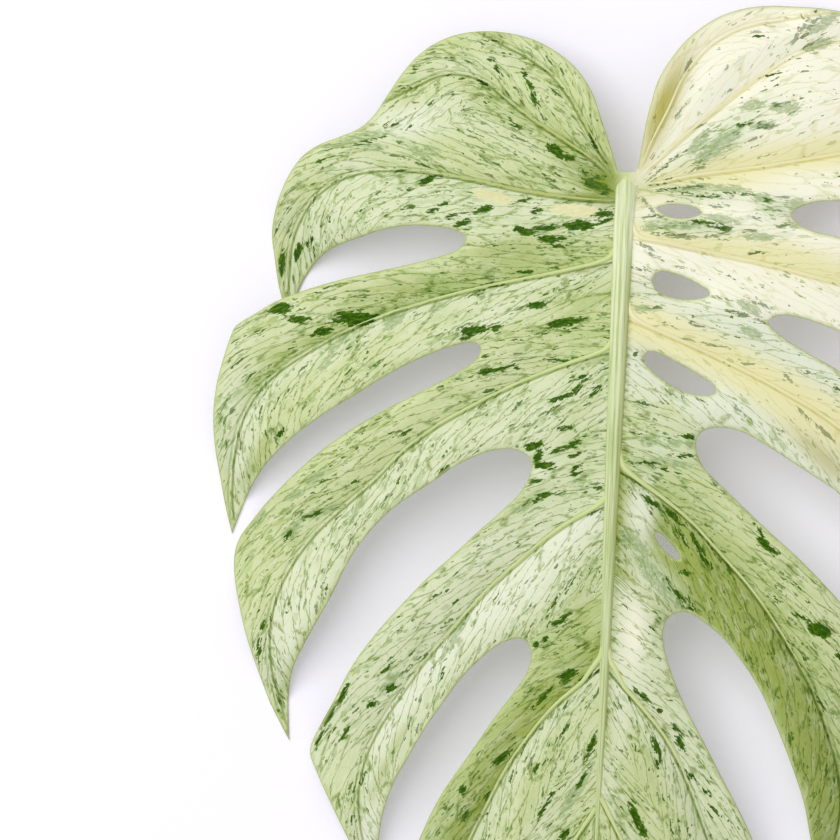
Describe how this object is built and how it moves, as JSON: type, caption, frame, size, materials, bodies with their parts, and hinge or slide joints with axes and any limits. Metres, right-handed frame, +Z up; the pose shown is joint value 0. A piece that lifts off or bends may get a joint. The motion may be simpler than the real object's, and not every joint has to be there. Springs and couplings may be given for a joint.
{
  "type": "monstera leaf",
  "caption": "Arched heart-shaped leaf with deep slits between curling lobes, oval holes, a raised midrib and a short cut stalk; lies face up on its lobe tips.",
  "frame": {"origin": "centre of the bounding box in plan, at the surface the leaf lies on", "axes": "+Z up out of the leaf's upper side, +Y along the midrib from the leaf's tip towards the stalk, +X across the leaf to the right when the stalk end is at the top"},
  "size_m": [0.3038, 0.3948, 0.0432],
  "materials": {
    "leaf_blade": null
  },
  "bodies": {
    "root": {"leaf": "leaf_blade"}
  },
  "joints": []
}
